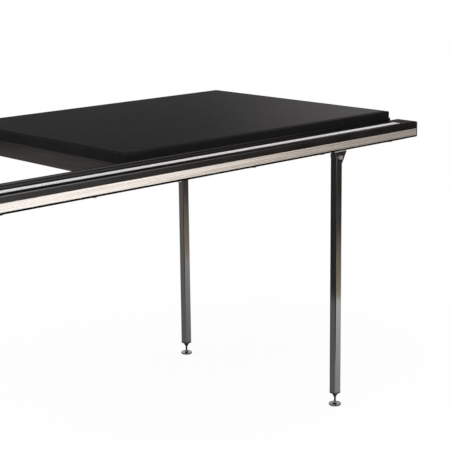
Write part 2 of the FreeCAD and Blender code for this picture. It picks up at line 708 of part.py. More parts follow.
def leg_bracket(name, at):
    """A bent sheet: a plate under the frame and one tapered ear in front of the leg, made about the pivot."""
    sheet = body(name, at)
    top = "pivot_drop + bracket_plate"
    left, right = "bracket_shift - bracket_width / 2", "bracket_shift + bracket_width / 2"
    ear = [(left, top), (left, "pivot_drop"), ("bracket_shift - bracket_tip / 2", "-ear_below_pivot"),
           ("bracket_shift + bracket_tip / 2", "-ear_below_pivot"), (right, "pivot_drop"), (right, top)]
    pad(sheet, outline(sheet, name + "_ear", "XZ_Plane", ear), "bracket_depth", "Symmetric")
    ear_back, back = "-leg_size / 2 - ear_gap", "bracket_depth / 2 + overshoot"
    low = "-ear_below_pivot - overshoot"
    behind = [(ear_back, low), (back, low), (back, "pivot_drop"), (ear_back, "pivot_drop")]
    pocket(sheet, outline(sheet, name + "_behind_ear", "YZ_Plane", behind))
    pocket(sheet, circles(sheet, name + "_pivot_hole", "XZ_Plane", [("0", "0")], "pivot_radius + screw_gap"))
    bolts = [("bracket_shift - bracket_bolt_offset", "0"), ("bracket_shift + bracket_bolt_offset", "0")]
    pocket(sheet, circles(sheet, name + "_bolt_holes", "XY_Plane", bolts, "bracket_bolt_radius + screw_gap"))
    tip, high, front = value("-ear_below_pivot"), value(top), value("-bracket_depth / 2")
    round_edges(sheet, name + "_tips", "min(bracket_tip_round; bracket_tip / 2.1)",
                lambda run, c: near(abs(run.y), 1) and near(c.z, tip))
    round_edges(sheet, name + "_bend", "bracket_bend",
                lambda run, c: near(abs(run.x), 1) and near(c.z, high) and near(c.y, front))
    return sheet


def pivot_set(end, y):
    """The pivot bolt, its lock nut, and washers before the ear, in its gap and behind the leg."""
    head_seat, gap_seat, back_seat, nut_seat = [("leg_across", f"{y} {along}", "pivot_height") for along in (
        "- bracket_depth / 2 - washer_thickness", "- leg_size / 2 - ear_gap", "+ leg_back",
        "+ leg_back + washer_thickness")]
    reach = "bracket_depth / 2 + leg_back + 2 * washer_thickness + lock_nut_height + thread_end"
    bore = "pivot_radius + screw_gap"
    bolt = joined(f"{end}_pivot_bolt", [
        rod(f"{end}_pivot_shank", head_seat, "pivot_radius", reach, "+y"),
        hexagon(f"{end}_pivot_head", head_seat, "small_flats", "small_head_height", "-y")])
    washers = []
    kinds = (("front", head_seat, "washer_thickness"), ("gap", gap_seat, "ear_gap - running_gap"),
             ("back", back_seat, "washer_thickness"))
    for tag, spot, thickness in kinds:
        name = f"{end}_washer_{tag}"
        blank = rod(name + "_blank", spot, "washer_radius", thickness, "+y")
        washers.append(bored(name, blank, spot, bore, thickness, "+y"))
    nut_blank = hexagon(f"{end}_pivot_nut_blank", nut_seat, "small_flats", "lock_nut_height", "+y")
    nut = bored(f"{end}_pivot_nut", nut_blank, nut_seat, bore, "lock_nut_height", "+y")
    return {f"{end}_pivot_bolt": bolt, f"{end}_pivot_washers": group(f"{end}_pivot_washers", washers),
            f"{end}_pivot_nut": nut}


def leg_head(end, y):
    """The plug in the leg's top: rounded on the side that swings up, square on the side that stops."""
    half = "leg_size / 2"
    low = "pivot_height + tube_above_pivot"
    height = "head_top - tube_above_pivot"
    sides = (("swing", f"leg_across - {half}", "head_top"), ("stop", "leg_across", "stop_radius"))
    halves = []
    for tag, start, reach in sides:
        block = box(f"{end}_head_{tag}_block", (start, f"{y} - {half}", low), (half, "leg_size", height))
        limit = rod(f"{end}_head_{tag}_limit", ("leg_across", f"{y} - leg_size", "pivot_height"), reach,
                    "2 * leg_size", "+y")
        halves.append(common(f"{end}_head_{tag}", block, limit))
    plug = section(f"{end}_head_plug", ("leg_across", y, low), "XY_Plane", "leg_bore - 2 * fit_gap",
                   "leg_bore - 2 * fit_gap", "head_plug_depth", "leg_round - leg_wall", reverse=True)
    bore = rod(f"{end}_head_bore", ("leg_across", f"{y} - leg_size", "pivot_height"), "pivot_hole",
               "2 * leg_size", "+y")
    return cut(f"{end}_leg_head", joined(f"{end}_head_blank", halves + [plug]), [bore])


def leg_foot_plug(end, y):
    """The plug in the leg's lower end, with a tapered boss round the foot's stem."""
    rim = section(f"{end}_foot_rim", ("leg_across", y, "leg_rim_bottom"), "XY_Plane", "leg_size", "leg_size",
                  "foot_rim", "leg_round")
    plug = section(f"{end}_foot_insert", ("leg_across", y, "leg_bottom"), "XY_Plane", "leg_bore - 2 * fit_gap",
                   "leg_bore - 2 * fit_gap", "foot_plug_depth", "leg_round - leg_wall")
    boss = cone(f"{end}_boss", ("leg_across", y, "leg_rim_bottom"), "boss_top_radius", "boss_tip_radius",
                "boss_height", "-z")
    bore = rod(f"{end}_boss_bore", ("leg_across", y, "leg_rim_bottom - boss_height - overshoot"), "stem_hole",
               "boss_height + foot_rim + foot_plug_depth + 2 * overshoot")
    return cut(f"{end}_leg_foot_plug", joined(f"{end}_foot_blank", [rim, plug, boss]), [bore])


def foot_pad(end, y):
    """A turned pad with a tapered hub that the stem's end sits in."""
    pad_body = body(f"{end}_foot_pad", ("leg_across", y, "0"))
    profile = [("0", "sole_thickness"), ("pad_radius", "sole_thickness"), ("pad_radius", "pad_top"),
               ("hub_radius", "pad_top"), ("hub_tip_radius", "hub_top"), ("stem_hole", "hub_top"),
               ("stem_hole", "stem_seat"), ("0", "stem_seat")]
    turned = pad_body.newObject("PartDesign::Revolution", f"{end}_foot_turned")
    turned.Profile = outline(pad_body, f"{end}_foot_profile", "XZ_Plane", profile)
    turned.ReferenceAxis = (turned.Profile[0], ["V_Axis"])
    turned.Angle = 360
    doc.recompute()
    rim, top = value("pad_radius"), value("pad_top")
    round_rim(pad_body, f"{end}_foot_rounding", "pad_edge", lambda box_of_edge: near(box_of_edge.ZMin, top)
              and near(box_of_edge.ZMax, top) and near(box_of_edge.XMax, rim))
    return pad_body


def foot_stem(end, y):
    """The threaded stem, with two spanner flats above the pad's hub."""
    stem = rod(f"{end}_stem_rod", ("leg_across", y, "stem_seat + running_gap"), "stem_radius", "stem_length")
    flats = [box(f"{end}_flat_{tag}", (start, f"{y} - stem_radius", "hub_top + flat_rise"),
                 ("stem_radius", "2 * stem_radius", "flat_height"))
             for tag, start in (("left", "leg_across - flat_width / 2 - stem_radius"),
                                ("right", "leg_across + flat_width / 2"))]
    return cut(f"{end}_foot_stem", stem, flats)


def make_leg(end, y):
    tube = section(f"{end}_leg_blank", ("leg_across", y, "leg_bottom"), "XY_Plane", "leg_size", "leg_size",
                   "leg_length", "leg_round", wall="leg_wall")
    hole = rod(f"{end}_leg_pivot_hole", ("leg_across", f"{y} - leg_size", "pivot_height"), "pivot_hole",
               "2 * leg_size", "+y")
    nut_seat = ("leg_across", y, "leg_bottom + foot_plug_depth")
    nut_blank = hexagon(f"{end}_stem_nut_blank", nut_seat, "small_flats", "small_nut_height")
    plate_corner = ("bracket_middle - bracket_width / 2", f"{y} - bracket_depth / 2", "bracket_top")
    plate = box(f"{end}_plate_blank", plate_corner, ("bracket_width", "bracket_depth", "mounting_plate"))
    plate_holes = [rod(f"{end}_plate_hole_{number}", (x, y, "bracket_top - overshoot"),
                       "bracket_bolt_radius + screw_gap", "mounting_plate + 2 * overshoot")
                   for number, x in enumerate(bracket_bolt_spots)]
    return {
        f"{end}_mounting_plate": cut(f"{end}_mounting_plate", plate, plate_holes),
        f"{end}_leg_bracket": leg_bracket(f"{end}_leg_bracket", ("leg_across", y, "pivot_height")),
        **pivot_set(end, y),
        f"{end}_leg_tube": cut(f"{end}_leg_tube", tube, [hole]),
        f"{end}_leg_head": leg_head(end, y),
        f"{end}_leg_foot_plug": leg_foot_plug(end, y),
        f"{end}_stem_nut": bored(f"{end}_stem_nut", nut_blank, nut_seat, "stem_hole", "small_nut_height"),
        f"{end}_foot_stem": foot_stem(end, y),
        f"{end}_foot_pad": foot_pad(end, y),
        f"{end}_foot_sole": rod(f"{end}_foot_sole", ("leg_across", y, "0"), "pad_radius - sole_inset",
                                "sole_thickness"),
    }


def rear_bracket_screws():
    """Round-headed wood screws that hold the rear bracket to its batten."""
    screws = []
    for number, x in enumerate(bracket_bolt_spots):
        name = f"rear_bracket_screw_{number}"
        shank = rod(name + "_shank", (x, "rear_leg_place", "plate_bottom"), "bracket_bolt_radius",
                    "bracket_plate + mounting_plate + bracket_screw_bite")
        screws.append(joined(name, [shank, round_head(name, x, "rear_leg_place")]))
    return {"rear_bracket_screws": group("rear_bracket_screws", screws)}


def check_document(nodes):
    """Stops if anything in the document failed to build."""
    for item in doc.Objects:
        if {"Invalid", "Error"} & set(item.State):
            raise RuntimeError(f"{item.Name}: {item.State}")
    for name, piece in nodes.items():
        if piece.Shape.isNull() or not piece.Shape.isValid() or not piece.Shape.Solids:
            raise RuntimeError(name + " has no valid solid")


nodes = {**make_board(), **make_long_battens(), **make_rails(), **make_leg("front", "front_leg_place"),
         **make_leg("rear", "rear_leg_place"), **rear_bracket_screws()}
doc.recompute()
check_document(nodes)
os.makedirs("parts", exist_ok=True)
for name, piece in nodes.items():
    piece.Label = name
    piece.Shape.exportStep(f"parts/{name}.step")
    print(name, len(piece.Shape.Solids), "solids,", round(piece.Shape.Volume), "mm3")
print(len(nodes), "nodes")
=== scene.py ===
import json
import math
import bpy
import numpy as np
from mathutils import Matrix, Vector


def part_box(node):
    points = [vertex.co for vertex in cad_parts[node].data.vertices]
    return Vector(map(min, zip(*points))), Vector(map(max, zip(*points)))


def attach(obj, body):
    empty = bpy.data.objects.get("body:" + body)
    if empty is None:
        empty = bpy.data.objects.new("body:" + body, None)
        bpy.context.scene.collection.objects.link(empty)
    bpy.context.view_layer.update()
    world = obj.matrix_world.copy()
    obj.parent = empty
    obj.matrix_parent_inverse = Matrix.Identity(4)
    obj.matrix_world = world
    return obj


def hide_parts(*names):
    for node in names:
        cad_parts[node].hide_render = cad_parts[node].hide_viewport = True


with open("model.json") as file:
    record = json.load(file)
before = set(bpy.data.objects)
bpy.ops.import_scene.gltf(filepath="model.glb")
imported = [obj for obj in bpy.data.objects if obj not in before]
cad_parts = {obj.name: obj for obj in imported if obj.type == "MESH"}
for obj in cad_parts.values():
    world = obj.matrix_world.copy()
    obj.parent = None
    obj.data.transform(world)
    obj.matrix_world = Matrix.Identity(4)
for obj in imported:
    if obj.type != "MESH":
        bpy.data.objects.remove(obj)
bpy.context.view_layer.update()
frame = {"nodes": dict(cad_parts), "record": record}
record = frame["record"]
mm = 0.001
forward, backward, upward = (0, -1, 0), (0, 1, 0), (0, 0, 1)  # the operator stands in front, at -Y
print("frame loaded:", len(frame["nodes"]), "nodes")


def linear(hexColour):
    # sRGB hex to linear red, green, blue and alpha
    parts = [int(hexColour[i:i + 2], 16) / 255 for i in (1, 3, 5)]
    return tuple(p / 12.92 if p <= 0.04045 else ((p + 0.055) / 1.055) ** 2.4 for p in parts) + (1.0,)


def perMetre(millimetres):
    # texture scale whose features are this large
    return 1000 / millimetres


def add(tree, kind, inputs=None, ramp=None, **settings):
    # one shader node: its settings, then its inputs, which are plain values or other nodes' outputs;
    # a ramp's stops are given from the lowest to the highest
    made = tree.nodes.new("ShaderNode" + kind)
    for name, value in settings.items():
        setattr(made, name, value)
    for name, value in (inputs or {}).items():
        if isinstance(value, bpy.types.NodeSocket):
            tree.links.new(value, made.inputs[name])
        else:
            made.inputs[name].default_value = value
    if ramp:
        stops = made.color_ramp.elements
        for stop, (place, colour) in zip(stops, (ramp[0], ramp[-1])):
            stop.position, stop.color = place, colour
        for place, colour in ramp[1:-1]:
            stops.new(place).color = colour
    return made


def newMaterial(name):
    material = bpy.data.materials.new(name)
    material.use_nodes = True
    material.node_tree.nodes.clear()
    return material, material.node_tree


def finishWith(tree, shader):
    add(tree, "OutputMaterial", {"Surface": shader})


def dress(slotName, material, only=()):
    # gives a finish to every CAD node of one material slot, or to some of its nodes only
    for row in record["subparts"]:
        if row["material_slot"] == slotName and (not only or row["node"] in only):
            slots = frame["nodes"][row["node"]].data.materials
            slots.clear()
            slots.append(material)


def newObject(name, points, faces, material):
    mesh = bpy.data.meshes.new(name)
    mesh.from_pydata(np.array(points).tolist(), [], faces)
    mesh.materials.append(material)
    made = bpy.data.objects.new(name, mesh)
    bpy.context.scene.collection.objects.link(made)
    return made


camera = {
    "place": (-2.246348, -2.831067, 1.39535),
    "headingDegrees": 43.074,  # from +Y towards +X
    "fallDegrees": 11.875,
    "rollDegrees": -0.68,
    "lens": 103.09,
    "sensor": 36,
    "shiftDown": 0.06674,  # of the picture's width
    "clip": (0.05, 200),
}


def makeCamera():
    data = bpy.data.cameras.new("camera")
    data.lens, data.sensor_width = camera["lens"], camera["sensor"]
    data.shift_y = -camera["shiftDown"]
    data.clip_start, data.clip_end = camera["clip"]
    made = bpy.data.objects.new("camera", data)
    aim = (Matrix.Rotation(-math.radians(camera["headingDegrees"]), 4, "Z")
           @ Matrix.Rotation(math.radians(90 - camera["fallDegrees"]), 4, "X")
           @ Matrix.Rotation(math.radians(camera["rollDegrees"]), 4, "Z"))
    made.matrix_world = Matrix.Translation(camera["place"]) @ aim
    bpy.context.scene.collection.objects.link(made)
    bpy.context.scene.camera = made


studio = {
    "floorReach": 30,
    "floorColour": "#f2f1f0",
    "floorDrop": 0.0002,
    "floorWhiteForCamera": 0.96,  # share of plain white, the rest is lit and shaded
    "floorWhiteForGloss": 0.3,
    "skyForDiffuse": 0.5,
    "lamps": {  # strength, spread of the lamp in degrees, where it shines from: azimuth from +X, height
        "keyLamp": (1.5, 45, 200, 62),
        "fillLamp": (0.7, 50, 296, 40),
    },
}


def makeFloor():
    material, tree = newMaterial("paleFloor")
    path = add(tree, "LightPath").outputs
    forCamera = add(tree, "Math", {0: path["Is Camera Ray"], 1: studio["floorWhiteForCamera"]},
                    operation="MULTIPLY")
    glossy = add(tree, "Math", {0: path["Is Glossy Ray"], 1: path["Is Transmission Ray"]},
                 operation="MAXIMUM")
    share = add(tree, "Math", {0: glossy.outputs[0], 1: studio["floorWhiteForGloss"],
                               2: forCamera.outputs[0]}, operation="MULTIPLY_ADD")
    lit = add(tree, "BsdfDiffuse", {"Color": linear(studio["floorColour"])})
    white = add(tree, "Emission", {"Color": (1, 1, 1, 1), "Strength": 1.0})
    both = add(tree, "MixShader", {0: share.outputs[0], 1: lit.outputs[0], 2: white.outputs[0]})
    finishWith(tree, both.outputs[0])
    reach, z = studio["floorReach"], -studio["floorDrop"]
    outline = [(-reach, -reach, z), (reach, -reach, z), (reach, reach, z), (-reach, reach, z)]
    newObject("floor", outline, [(0, 1, 2, 3)], material)


def makeLight():
    world = bpy.data.worlds.new("world")
    world.use_nodes = True
    tree = world.node_tree
    tree.nodes.clear()
    path = add(tree, "LightPath").outputs
    seen = add(tree, "Math", {0: path["Is Camera Ray"], 1: path["Is Glossy Ray"]}, operation="MAXIMUM")
    seen = add(tree, "Math", {0: seen.outputs[0], 1: path["Is Transmission Ray"]}, operation="MAXIMUM")
    dim = studio["skyForDiffuse"]
    strength = add(tree, "Math", {0: seen.outputs[0], 1: 1 - dim, 2: dim}, operation="MULTIPLY_ADD")
    sky = add(tree, "Background", {"Color": (1, 1, 1, 1), "Strength": strength.outputs[0]})
    add(tree, "OutputWorld", {"Surface": sky.outputs[0]})
    bpy.context.scene.world = world
    for name, (power, spread, azimuth, height) in studio["lamps"].items():
        data = bpy.data.lights.new(name, "SUN")
        data.energy, data.angle = power, math.radians(spread)
        lamp = bpy.data.objects.new(name, data)
        lamp.matrix_world = (Matrix.Rotation(math.radians(azimuth), 4, "Z")
                             @ Matrix.Rotation(math.radians(90 - height), 4, "Y"))
        bpy.context.scene.collection.objects.link(lamp)


# Glowing cards that only glossy rays see, like a product studio's cards: painted reflections of a lit
# studio, and the dark ones painted shade. They light nothing and cast no shadow; they shape what the
# black coats mirror. middle and half sizes in metres; turn: degrees from +X to the card's own run; a card
# lies flat unless it is standing; shades: one colour, or stops along the run, where the span's two
# places, in metres from the middle, are stops 0 and 1; glow: strength.
paintedReflectionCards = {
    "backCard": dict(middle=(1.85, 1.76, 2.35), half=(2.4, 1.3), turn=-43, standing=True,
                     span=(0.1, 1.3), shades=((0, "#272727"), (1, "#e2dada"))),
    "endFlag": dict(middle=(0.9, -0.368, 0.9), half=(0.165, 0.1), standing=True, shades="#5a5250"),
    "cornerCard": dict(middle=(-0.5, -3.3, 0.0045), half=(1.4, 1.1), shades="#4e4848"),
    "sideCard": dict(middle=(-2.8, -1.35, 0.0035), half=(1.0, 1.1), shades="#4e4848"),
    "ceilingCard": dict(middle=(2, -1.2, 2.7), half=(3, 2.6), shades="#262423"),
    "frontWall": dict(middle=(3, -5.2, 1.8), half=(6, 1.8), standing=True, span=(-4, 2.9), glow=5.5,
                      shades=((0.32, "#6e6e6e"), (0.435, "#ffffff"), (0.717, "#a39c94"), (1, "#12100e"))),
    "frontFloor": dict(middle=(3.7, -3.8, 0.004), half=(3.5, 1.4), span=(-2.7, -1.1),
                       shades=((0, "#f6f2f0"), (1, "#564e48"))),
    "farCard": dict(middle=(3.6, -1.8, 0.004), half=(1.4, 0.6), shades="#656363"),
    "tanCard": dict(middle=(1.735, -1.35, 0.004), half=(0.465, 1.05), span=(-0.465, 0.465),
                    shades=((0, "#e7d5b6"), (0.7, "#ae9b89"), (0.95, "#756e66"))),
    "nearCard": dict(middle=(0.8325, -0.45, 0.004), half=(1.05, 0.4375), turn=-90, span=(-0.55, 0.65),
                     shades=((0, "#a8a8a8"), (0.58, "#cecece"), (1, "#ffffff")), glow=1.4),
    # painted shade of the floor under the table, seen only in the legs' reflections
    "leftShadeCard": dict(middle=(-1.81, 2.31, 0.003), half=(2.19, 2.69), shades="#a59f9f"),
    # painted shadow of the saw on the floor, seen only in the legs' reflections
    "sawShadowCard": dict(middle=(-2.35, 0.84, 0.005), half=(3.8, 1.5), turn=117.7, shades="#4e4848"),
    # painted shade under the rail, mirrored by the tube's lower edge
    "railShadeFlag": dict(middle=(0, -0.457, 0.7637), half=(0.9, 0.023), shades="#1a1817"),
}


def makePaintedReflectionCard(name, middle, half, shades, turn=0, standing=False, span=None, glow=1.0):
    angle, middle = math.radians(turn), np.array(middle)
    run = np.array((math.cos(angle), math.sin(angle), 0))
    rise = np.array(upward) if standing else np.array((-math.sin(angle), math.cos(angle), 0))
    material, tree = newMaterial(name)
    if span:
        place = add(tree, "TexCoord").outputs["Object"]
        along = add(tree, "VectorMath", {0: place, 1: tuple(run)}, operation="DOT_PRODUCT")
        start, end = (float(middle @ run) + edge for edge in span)
        share = add(tree, "MapRange", {"Value": along.outputs["Value"], "From Min": start, "From Max": end})
        shade = add(tree, "ValToRGB", {"Fac": share.outputs["Result"]},
                    ramp=[(stop, linear(tint)) for stop, tint in shades])
        colour = shade.outputs["Color"]
    else:
        colour = linear(shades)
    finishWith(tree, add(tree, "Emission", {"Color": colour, "Strength": glow}).outputs[0])
    outline = [middle + u * half[0] * run + v * half[1] * rise
               for u, v in ((-1, -1), (1, -1), (1, 1), (-1, 1))]
    made = newObject(name, outline, [(0, 1, 2, 3)], material)
    made.visible_camera = made.visible_diffuse = made.visible_shadow = made.visible_transmission = False


# Grained finishes. colour: darker and lighter shade, patch: size in mm of the slow change between them,
# rough: lowest and highest roughness, grain: size and depth in mm of the fine relief.
grained = {
    "texturedLaminate": dict(  # HPL pressed against a textured plate: satin black, faintly mottled
        slot="black_laminate", colour=("#131111", "#1a1717"), patch=26, rough=(0.41, 0.47),
        grain=(1.1, 0.03), ior=1.45),
    "pvcEdging": dict(  # extruded PVC: it mirrors less than the laminate, so it looks a shade deeper
        slot="edge_moulding", colour=("#1b1a1a", "#222121"), patch=30, rough=(0.3, 0.42),
        grain=(0.7, 0.015), ior=1.05),
    "backingPaper": dict(  # phenolic backer sheet: dull brown-black
        slot="backer_laminate", colour=("#2a2320", "#352d28"), patch=55, rough=(0.6, 0.75),
        grain=(1.6, 0.03)),
    "glossPowderCoat": dict(  # polyester powder coat: deep black with orange peel
        slot="powder_coat", colour=("#0d0c0c", "#131212"), patch=120, rough=(0.13, 0.2),
        grain=(2.6, 0.01)),
    "legEnamel": dict(  # stoved black enamel on drawn tube: near mirror gloss
        slot="leg_powder_coat", colour=("#100e0e", "#151313"), patch=90, rough=(0.07, 0.13),
        grain=(3.4, 0.006), ior=2.3, coat=1.0),
    "mouldedPlastic": dict(  # glass-filled nylon: fine spark-eroded grain
        slot="black_plastic", colour=("#131212", "#1b1a1a"), patch=14, rough=(0.38, 0.5),
        grain=(0.5, 0.02)),
    "glossNylon": dict(  # polished mould: smooth and shiny
        slot="foot_plastic", colour=("#151414", "#1b1a1a"), patch=9, rough=(0.16, 0.26),
        grain=(0.9, 0.006), ior=1.9, coat=1.0),
    "blackOxideStems": dict(  # oiled black oxide on cut thread: dark metal with a soft shine
        slot="blackened_steel", colour=("#1c1b1a", "#2b2928"), patch=4, rough=(0.3, 0.45),
        grain=(0.5, 0.01), metallic=0.85),
    "blackOxideScrews": dict(  # the same oxide, drier: a duller shine
        slot="black_screws", colour=("#1c1b1a", "#262423"), patch=4, rough=(0.35, 0.5),
        grain=(0.5, 0.01), metallic=0.85),
    "zincPlate": dict(  # bright zinc: pale grey metal with a faint cloudy passivate
        slot="zinc_plate", colour=("#ced1d4", "#e6e6e2"), patch=6, rough=(0.18, 0.32),
        grain=(0.6, 0.01), metallic=1.0),
    "satinZincSheet": dict(  # rolled sheet under the same zinc: duller, so it stays pale from every side
        slot="zinc_plate", colour=("#dcdcda", "#efefec"), patch=9, rough=(0.45, 0.6),
        grain=(0.8, 0.02), metallic=0.6, only=("front_mounting_plate", "rear_mounting_plate")),
    "soleRubber": dict(  # moulded nitrile rubber: matt
        slot="black_rubber", colour=("#141313", "#1e1d1c"), patch=8, rough=(0.75, 0.9),
        grain=(0.6, 0.03)),
}


def makeGrained(name, slot, colour, patch, rough, grain, metallic=0.0, ior=1.5, coat=0.0, only=()):
    material, tree = newMaterial(name)
    place = add(tree, "TexCoord").outputs["Object"]
    cloud = add(tree, "TexNoise", {"Vector": place, "Scale": perMetre(patch), "Detail": 5.0,
                                   "Roughness": 0.6})
    relief = add(tree, "TexNoise", {"Vector": place, "Scale": perMetre(grain[0]), "Detail": 2.0,
                                    "Roughness": 0.5})
    tone = add(tree, "ValToRGB", {"Fac": cloud.outputs["Fac"]},
               ramp=[(0.3, linear(colour[0])), (0.7, linear(colour[1]))])
    gloss = add(tree, "MapRange", {"Value": cloud.outputs["Fac"], "From Min": 0.3, "From Max": 0.7,
                                   "To Min": rough[0], "To Max": rough[1]})
    bump = add(tree, "Bump", {"Height": relief.outputs["Fac"], "Distance": grain[1] * mm, "Strength": 1.0})
    shader = add(tree, "BsdfPrincipled", {
        "Base Color": tone.outputs["Color"], "Roughness": gloss.outputs["Result"],
        "Normal": bump.outputs["Normal"], "Metallic": metallic, "IOR": ior,
        "Coat Weight": coat, "Coat Roughness": rough[0], "Coat IOR": 1.6})
    finishWith(tree, shader.outputs[0])
    dress(slot, material, only)
    return material


brushed = {
    "slot": "brushed_aluminium",
    "colour": ("#d8d1cb", "#f6f1ed"),
    "streak": (420, 1.9),  # length and width in mm, drawn wider than real so that it shows
    "rough": (0.24, 0.33),
    "relief": 0.002,  # mm
}


def makeBrushedAluminium():
    # extruded strip brushed along its length: fine bright and dim lines, light spread across them
    material, tree = newMaterial("brushedAluminium")
    place = add(tree, "TexCoord").outputs["Object"]
    along, across = (perMetre(size) for size in brushed["streak"])
    stretched = add(tree, "Mapping", {"Vector": place, "Scale": (along, across, across)})
    lines = add(tree, "TexNoise", {"Vector": stretched.outputs[0], "Scale": 1.0, "Detail": 4.0,
                                   "Roughness": 0.65})
    darker, lighter = (linear(shade) for shade in brushed["colour"])
    tone = add(tree, "ValToRGB", {"Fac": lines.outputs["Fac"]}, ramp=[(0.3, darker), (0.7, lighter)])
    low, high = brushed["rough"]
    gloss = add(tree, "MapRange", {"Value": lines.outputs["Fac"], "From Min": 0.25, "From Max": 0.75,
                                   "To Min": low, "To Max": high})
    bump = add(tree, "Bump", {"Height": lines.outputs["Fac"], "Distance": brushed["relief"] * mm,
                              "Strength": 1.0})
    shader = add(tree, "BsdfPrincipled", {
        "Base Color": tone.outputs["Color"], "Metallic": 1.0, "Roughness": gloss.outputs["Result"],
        "Normal": bump.outputs["Normal"]})
    finishWith(tree, shader.outputs[0])
    dress(brushed["slot"], material)


tape = {
    "slot": "rule_tape",
    "colour": ("#e9e6e9", "#f4f2f4"),
    "ink": ("#151416", "#242226"),
    "rubbed": 22,  # mm, size of the places where hands and work have worn it
    "rough": 0.38,
}


def makeEnamel(name, shades):
    # lacquer or printed ink on spring steel: smooth, slightly rubbed
    material, tree = newMaterial(name)
    place = add(tree, "TexCoord").outputs["Object"]
    rubbed = add(tree, "TexNoise", {"Vector": place, "Scale": perMetre(tape["rubbed"]), "Detail": 6.0})
    tone = add(tree, "ValToRGB", {"Fac": rubbed.outputs["Fac"]},
               ramp=[(0.35, linear(shades[0])), (0.65, linear(shades[1]))])
    shader = add(tree, "BsdfPrincipled", {"Base Color": tone.outputs["Color"], "Roughness": tape["rough"]})
    finishWith(tree, shader.outputs[0])
    return material


pine = {
    "slot": "batten_wood",
    "colour": ("#120f0d", "#221d1a", "#332c27"),
    "ring": 5.0,  # mm from one year's line to the next
    "run": 260,  # mm along the grain
    "fibre": 7.0,  # times as fine as the rings
    "fibreShare": 0.3,
    "rough": (0.5, 0.65),
    "relief": 0.12,  # mm
}


def makePine(name, alongX):
    # planed softwood, stained black: the soft early wood drinks more stain than the lines of late wood
    material, tree = newMaterial(name)
    place = add(tree, "TexCoord").outputs["Object"]
    ring, run = perMetre(pine["ring"]), perMetre(pine["run"])
    scale = (run, ring, ring) if alongX else (ring, run, ring)
    stretched = add(tree, "Mapping", {"Vector": place, "Scale": scale}).outputs[0]
    lines = add(tree, "TexNoise", {"Vector": stretched, "Scale": 1.0, "Detail": 3.0, "Distortion": 0.8})
    fibres = add(tree, "TexNoise", {"Vector": stretched, "Scale": pine["fibre"], "Detail": 3.0})
    both = add(tree, "Mix", {0: pine["fibreShare"], 2: lines.outputs["Fac"], 3: fibres.outputs["Fac"]},
               data_type="FLOAT").outputs[0]
    low, middle, high = (linear(shade) for shade in pine["colour"])
    tone = add(tree, "ValToRGB", {"Fac": both}, ramp=[(0.36, low), (0.47, middle), (0.62, high)])
    gloss = add(tree, "MapRange", {"Value": both, "To Min": pine["rough"][0], "To Max": pine["rough"][1]})
    bump = add(tree, "Bump", {"Height": both, "Distance": pine["relief"] * mm, "Strength": 1.0})
    shader = add(tree, "BsdfPrincipled", {
        "Base Color": tone.outputs["Color"], "Roughness": gloss.outputs["Result"],
        "Normal": bump.outputs["Normal"]})
    finishWith(tree, shader.outputs[0])
    return material


def makeBattens():
    longWood, crossWood = makePine("pineAlong", True), makePine("pineAcross", False)
    dress(pine["slot"], crossWood)
    dress(pine["slot"], longWood, ("front_batten", "rear_batten"))


chips = {
    "slot": "particle_board",
    "colour": ("#8f6f48", "#c9a876"),
    "chip": 2.4,  # mm
    "relief": 0.1,  # mm
}


def makeParticleBoard():
    # pressed wood chips: small flat flakes of mixed tones
    material, tree = newMaterial("particleBoard")
    place = add(tree, "TexCoord").outputs["Object"]
    flakes = add(tree, "TexVoronoi", {"Vector": place, "Scale": perMetre(chips["chip"])})
    darker, lighter = (linear(shade) for shade in chips["colour"])
    tone = add(tree, "ValToRGB", {"Fac": flakes.outputs["Color"]}, ramp=[(0.1, darker), (0.9, lighter)])
    bump = add(tree, "Bump", {"Height": flakes.outputs["Distance"], "Distance": chips["relief"] * mm})
    shader = add(tree, "BsdfPrincipled", {"Base Color": tone.outputs["Color"], "Roughness": 0.8,
                                          "Normal": bump.outputs["Normal"]})
    finishWith(tree, shader.outputs[0])
    dress(chips["slot"], material)


def turned(rings, at, facing, steps=48, bored=False, pitch=0.0):
    # Rings stacked along an axis, each (height, radius, hexagon's flats or 0, thread depth), in mm.
    # At the angle a, a ring lies at the smaller of its radius and the distance to the hexagon's side,
    # flats / 2 / cos(a - the middle of that side), less the thread, whose depth goes down and up again
    # once per turn of (height / pitch - a / 360 degrees). The first and the last ring close on the axis,
    # or on each other when the piece is bored. Heights start at the point "at", in metres.
    height, radius, flats, depth = (np.array(column, float) for column in zip(*rings))
    angle = np.arange(steps) * 2 * np.pi / steps
    fromSide = (angle + np.pi / 6) % (np.pi / 3) - np.pi / 6
    toSide = np.where(flats > 0, flats / 2, np.inf)[:, None] / np.cos(fromSide)
    reach = np.minimum(radius[:, None], toSide)
    if pitch:
        turns = height[:, None] / pitch - angle / (2 * np.pi)
        reach = reach - depth[:, None] * np.abs(2 * (turns % 1) - 1)
    w = np.array(facing, float)
    u = np.array((1.0, 0, 0))
    v = np.cross(w, u)
    outward = np.cos(angle)[:, None] * u + np.sin(angle)[:, None] * v
    points = np.array(at) + mm * (reach[..., None] * outward + height[:, None, None] * w)
    count = len(rings)
    ring, step = np.meshgrid(np.arange(count if bored else count - 1), np.arange(steps), indexing="ij")
    above, beside = (ring + 1) % count, (step + 1) % steps
    quads = np.stack([ring * steps + step, ring * steps + beside,
                      above * steps + beside, above * steps + step], -1)
    points, faces = points.reshape(-1, 3), quads.reshape(-1, 4).tolist()
    if not bored:
        ends = np.array(at) + mm * np.outer(height[[0, -1]], w)
        here, after = np.arange(steps), (np.arange(steps) + 1) % steps
        low, high, top = len(points), len(points) + 1, (count - 1) * steps
        faces += np.stack([np.full(steps, low), after, here], -1).tolist()
        faces += np.stack([np.full(steps, high), top + here, top + after], -1).tolist()
        points = np.vstack([points, ends])
    return points, faces


